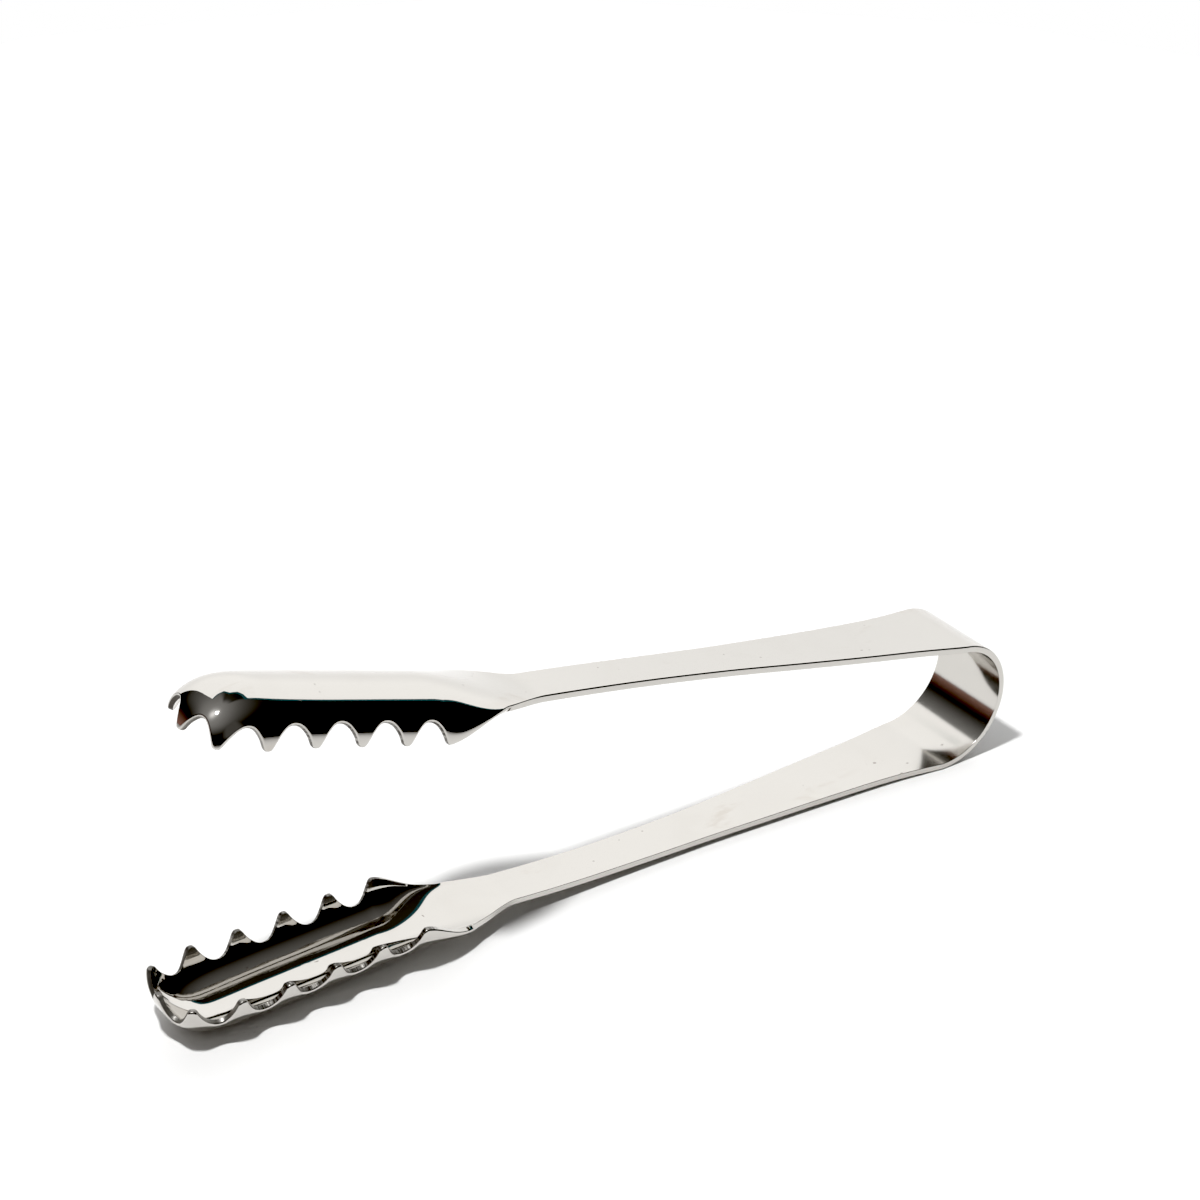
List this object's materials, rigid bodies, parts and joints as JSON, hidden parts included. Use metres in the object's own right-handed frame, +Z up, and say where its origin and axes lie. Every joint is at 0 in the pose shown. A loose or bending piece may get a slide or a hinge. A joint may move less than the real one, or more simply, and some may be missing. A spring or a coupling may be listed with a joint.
{
  "type": "ice tongs",
  "caption": "One-piece sprung metal ice tongs with a round bow, tapering arms and saw-toothed scoop claws that pinch an ice cube.",
  "frame": {"origin": "centre of the object's box at table level, under the tongs as they rest on the lower claw's back and the bow", "axes": "+X along the tongs towards the bow, +Y across the strip, +Z up"},
  "size_m": [0.1802, 0.0186, 0.0634],
  "materials": {
    "lower_claw": "mirror-polished stainless steel, rough saw-cut tooth edges",
    "lower_arm": "mirror-polished stainless steel with fine scratches",
    "spring_bow": "mirror-polished stainless steel",
    "upper_arm": "mirror-polished stainless steel with fine scratches",
    "upper_claw": "mirror-polished stainless steel, rough saw-cut tooth edges"
  },
  "bodies": {
    "lower_arm": {"lower_arm": "lower_arm", "lower_claw": "lower_claw"},
    "bow": {"spring_bow": "spring_bow"},
    "upper_arm": {"upper_arm": "upper_arm", "upper_claw": "upper_claw"}
  },
  "joints": [
    {"name": "lower_flex", "type": "hinge", "parent": "lower_arm", "child": "bow", "pos_m": [0.07608, 0, 0.00066], "axis": [0, -1, 0], "range_deg": [0, 8.2], "stiffness_Nm_per_rad": 3.6, "springref_deg": -0.34},
    {"name": "upper_flex", "type": "hinge", "parent": "bow", "child": "upper_arm", "pos_m": [0.07854, 0, 0.02601], "axis": [0, -1, 0], "range_deg": [0, 8.2], "stiffness_Nm_per_rad": 3.6, "springref_deg": -0.34}
  ],
  "couplings": [
    {"joint": "upper_flex", "follows": "lower_flex", "ratio": 1}
  ]
}
